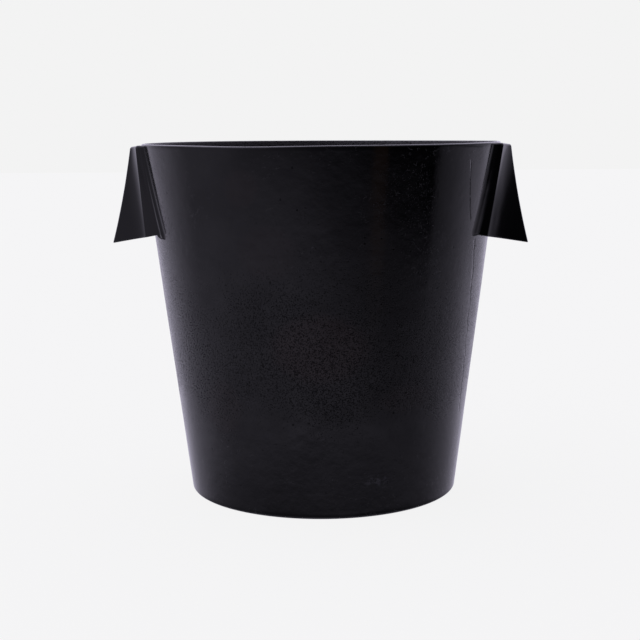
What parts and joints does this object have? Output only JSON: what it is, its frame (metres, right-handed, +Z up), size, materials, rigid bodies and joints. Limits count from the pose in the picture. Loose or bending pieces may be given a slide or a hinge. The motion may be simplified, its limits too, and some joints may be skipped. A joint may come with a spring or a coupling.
{
  "type": "florist bucket",
  "caption": "Tapered round metal bucket for cut flowers, blackened cast aluminium, with flared finger lugs level with its rim.",
  "frame": {"origin": "centre of the underside, on the plane that the foot ring stands on", "axes": "+Z up along the bucket's axis; the two handles lie on +X (right) and -X (left); -Y is the front"},
  "size_m": [0.2594, 0.2248, 0.22],
  "materials": {
    "black_cast_aluminium": "antique blackened sand casting, satin to soft gloss, finely pitted",
    "black_weld_bead": "blackened weld bead, satin"
  },
  "bodies": {
    "root": {"bucket_shell": "black_cast_aluminium", "left_handle": "black_cast_aluminium", "right_handle": "black_cast_aluminium", "left_handle_front_weld": "black_weld_bead", "left_handle_back_weld": "black_weld_bead", "right_handle_front_weld": "black_weld_bead", "right_handle_back_weld": "black_weld_bead"}
  },
  "joints": []
}
